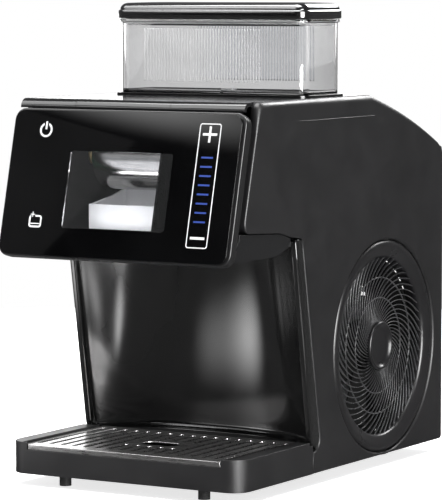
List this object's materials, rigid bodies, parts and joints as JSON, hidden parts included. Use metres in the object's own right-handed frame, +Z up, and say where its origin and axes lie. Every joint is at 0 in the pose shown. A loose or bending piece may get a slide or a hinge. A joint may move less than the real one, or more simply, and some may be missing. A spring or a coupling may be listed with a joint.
{
  "type": "snow ice maker",
  "caption": "Countertop snow ice maker with a clear liquid tank on top, a leaning glass touch panel with a window on the drum, a bowl bay over a drip tray, and a round fan grille on one side.",
  "frame": {"origin": "on the surface the feet stand on, under the centre of the machine", "axes": "+Z up, -Y out of the glass panel at the front, +X towards the side with the fan grille"},
  "size_m": [0.27, 0.4532, 0.482],
  "materials": {
    "panel_black": "satin moulded ABS, near black",
    "deck_black": "gloss moulded ABS, black",
    "bay_black": "high gloss black",
    "bezel_black": "satin black",
    "panel_glass": "black back-printed glass",
    "clear_window": "clear lens",
    "mark_white": "printed white",
    "led_blue": "lit blue",
    "board_green": "solder mask",
    "grille_steel": "dark brushed stainless steel",
    "stainless": "polished stainless steel",
    "zinc_steel": "zinc plated sheet steel",
    "rubber_black": "moulded rubber",
    "clear_plastic": "clear copolyester",
    "seal_silicone": "translucent silicone",
    "white_plastic": "food-safe white plastic",
    "inner_black": "matt moulded plastic",
    "fan_black": "satin moulded plastic",
    "copper": "copper tube",
    "brass": "machined brass",
    "nylon": "acetal gear plastic",
    "condenser_aluminium": "fin stock and tube",
    "compressor_paint": "black enamel",
    "motor_metal": "grey plated can"
  },
  "bodies": {
    "housing": {"left_side_panel": "panel_black", "right_side_panel": "panel_black", "rear_cover": "panel_black", "top_cover": "deck_black", "flap_hinge_pin": "stainless", "chin_shell": "deck_black", "head_frame": "inner_black", "bezel_frame": "bezel_black", "glass_panel": "panel_glass", "viewing_window": "clear_window", "touch_boards": "board_green", "key_icons": "mark_white", "speed_slider": "mark_white", "led_bars": "led_blue", "splash_panel": "bay_black", "tray_housing": "panel_black", "base_plate": "zinc_steel", "chassis_frame": "zinc_steel", "feet": "rubber_black", "foot_screws": "stainless", "panel_screws": "stainless", "tank_seat": "deck_black", "feed_cup": "white_plastic", "valve_solenoid": "motor_metal", "feed_tube": "seal_silicone", "drip_spreader": "white_plastic", "freezing_chamber": "inner_black", "drum_bearings": "brass", "rotary_joint": "brass", "gear_motor": "motor_metal", "motor_bracket": "zinc_steel", "scraper_blade": "stainless", "blade_holder": "zinc_steel", "snow_chute": "white_plastic", "outlet_spout": "inner_black", "compressor": "compressor_paint", "compressor_mounts": "rubber_black", "condenser": "condenser_aluminium", "refrigerant_pipes": "copper", "fan_shroud": "fan_black", "fan_motor": "motor_metal", "fan_grille": "fan_black", "power_unit": "board_green", "power_inlet": "inner_black", "switch_housing": "inner_black"},
    "tank_unit": {"tank": "clear_plastic", "valve_spring": "stainless"},
    "lid_unit": {"tank_lid": "deck_black", "lid_seal": "seal_silicone"},
    "valve_unit": {"tank_valve": "white_plastic"},
    "flap_unit": {"top_flap": "deck_black"},
    "tray_unit": {"drip_tray": "inner_black"},
    "grille_unit": {"drip_grille": "grille_steel"},
    "pin_unit": {"solenoid_pin": "stainless"},
    "drum_unit": {"freezing_drum": "stainless", "drum_shaft": "stainless", "drum_gear": "nylon"},
    "pinion_unit": {"motor_pinion": "brass"},
    "fan_unit": {"fan_rotor": "fan_black"},
    "rocker_unit": {"power_rocker": "bezel_black"}
  },
  "joints": [
    {"name": "tank_lift", "type": "slide", "parent": "housing", "child": "tank_unit", "axis": [0, 0, 1], "range_m": [0, 0.09]},
    {"name": "lid_lift", "type": "slide", "parent": "tank_unit", "child": "lid_unit", "axis": [0, 0, 1], "range_m": [0, 0.05]},
    {"name": "valve_open", "type": "slide", "parent": "tank_unit", "child": "valve_unit", "axis": [0, 0, 1], "range_m": [0, 0.003], "stiffness_N_per_m": 120, "deforming": ["valve_spring"]},
    {"name": "solenoid_stroke", "type": "slide", "parent": "housing", "child": "pin_unit", "axis": [0, 0, 1], "range_m": [0, 0.003], "stiffness_N_per_m": 120},
    {"name": "flap_hinge", "type": "hinge", "parent": "housing", "child": "flap_unit", "pos_m": [-0.0095, -0.0884, 0.385], "axis": [-1, 0, 0], "range_deg": [0, 80]},
    {"name": "tray_lift", "type": "slide", "parent": "housing", "child": "tray_unit", "axis": [0, 0, 1], "range_m": [0, 0.02]},
    {"name": "grille_lift", "type": "slide", "parent": "tray_unit", "child": "grille_unit", "axis": [0, 0, 1], "range_m": [0, 0.01]},
    {"name": "drum_spin", "type": "hinge", "parent": "housing", "child": "drum_unit", "pos_m": [0, -0.1384, 0.33], "axis": [1, 0, 0], "continuous": true},
    {"name": "pinion_spin", "type": "hinge", "parent": "housing", "child": "pinion_unit", "pos_m": [0.046, -0.0994, 0.33], "axis": [1, 0, 0], "continuous": true},
    {"name": "fan_spin", "type": "hinge", "parent": "housing", "child": "fan_unit", "pos_m": [0.11, 0.0946, 0.1255], "axis": [1, 0, 0], "continuous": true},
    {"name": "rocker_tip", "type": "hinge", "parent": "housing", "child": "rocker_unit", "pos_m": [-0.07, 0.2176, 0.116], "axis": [-1, 0, 0], "range_deg": [0, 16]}
  ],
  "couplings": [
    {"joint": "pinion_spin", "follows": "drum_spin", "ratio": -3.3333},
    {"joint": "valve_open", "follows": "solenoid_stroke", "ratio": 1}
  ]
}
